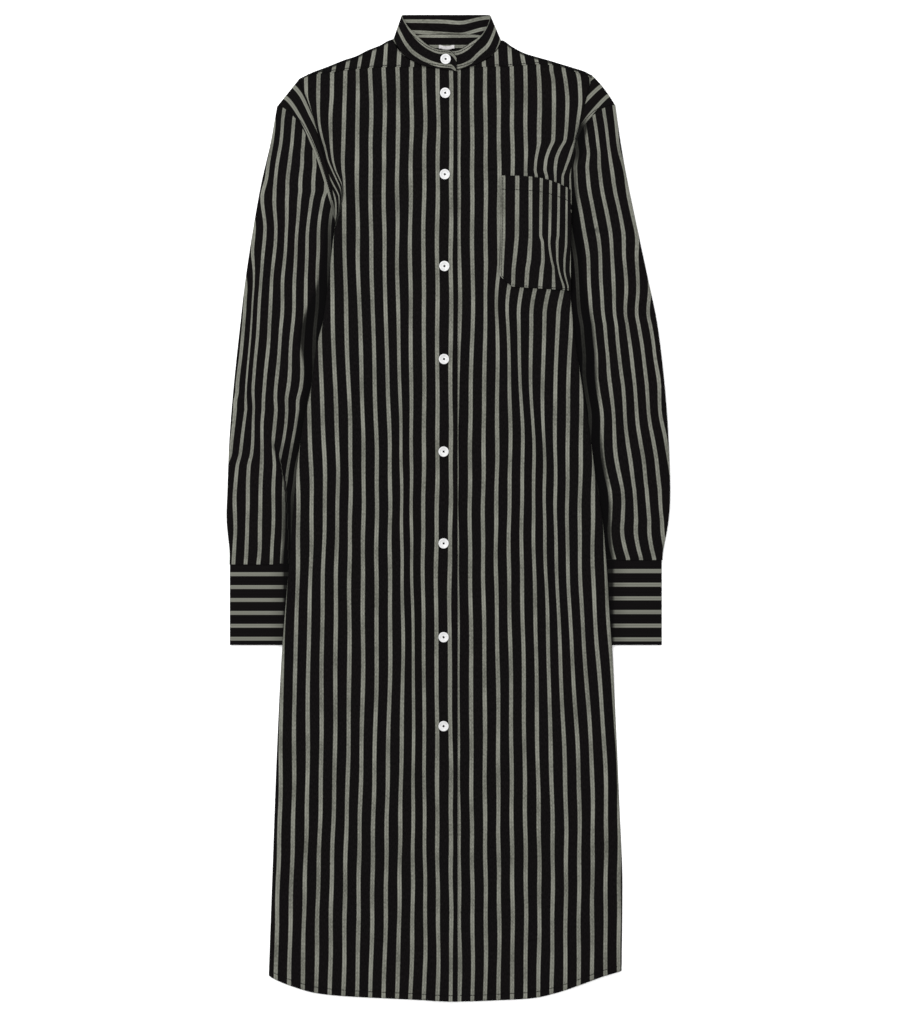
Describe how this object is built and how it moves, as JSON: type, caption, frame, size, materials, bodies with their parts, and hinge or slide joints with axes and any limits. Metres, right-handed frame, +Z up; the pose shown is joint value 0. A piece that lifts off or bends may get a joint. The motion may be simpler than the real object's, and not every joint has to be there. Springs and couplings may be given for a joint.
{
  "type": "shirt dress",
  "caption": "Black striped cotton shirt dress lying flat, with band collar, button placket, chest pocket, long sleeves and deep cuffs.",
  "frame": {"origin": "On the surface that the dress lies on, below the middle of its outline", "axes": "+Y towards the neck, +X to the viewer's right (the wearer's left), +Z up from the surface through the front of the dress"},
  "size_m": [0.5533, 1.2324, 0.0116],
  "materials": {
    "striped_cotton": "matte cotton poplin, black with grey-green double stripes",
    "button": "soft gloss, off white",
    "label": "woven, plain and blank"
  },
  "bodies": {
    "root": {"back": "striped_cotton", "back_yoke": "striped_cotton", "inner_yoke": "striped_cotton", "neck_label": "label", "front_left": "striped_cotton", "front_right": "striped_cotton", "front_yoke_right": "striped_cotton", "front_yoke_left": "striped_cotton", "armhole_band_right": "striped_cotton", "armhole_band_left": "striped_cotton", "sleeve_right": "striped_cotton", "sleeve_left": "striped_cotton", "cuff_right": "striped_cotton", "cuff_left": "striped_cotton", "collar": "striped_cotton", "chest_pocket": "striped_cotton", "button_collar": "button", "button_1": "button", "button_2": "button", "button_3": "button", "button_4": "button", "button_5": "button", "button_6": "button", "button_7": "button", "button_8": "button"}
  },
  "joints": []
}
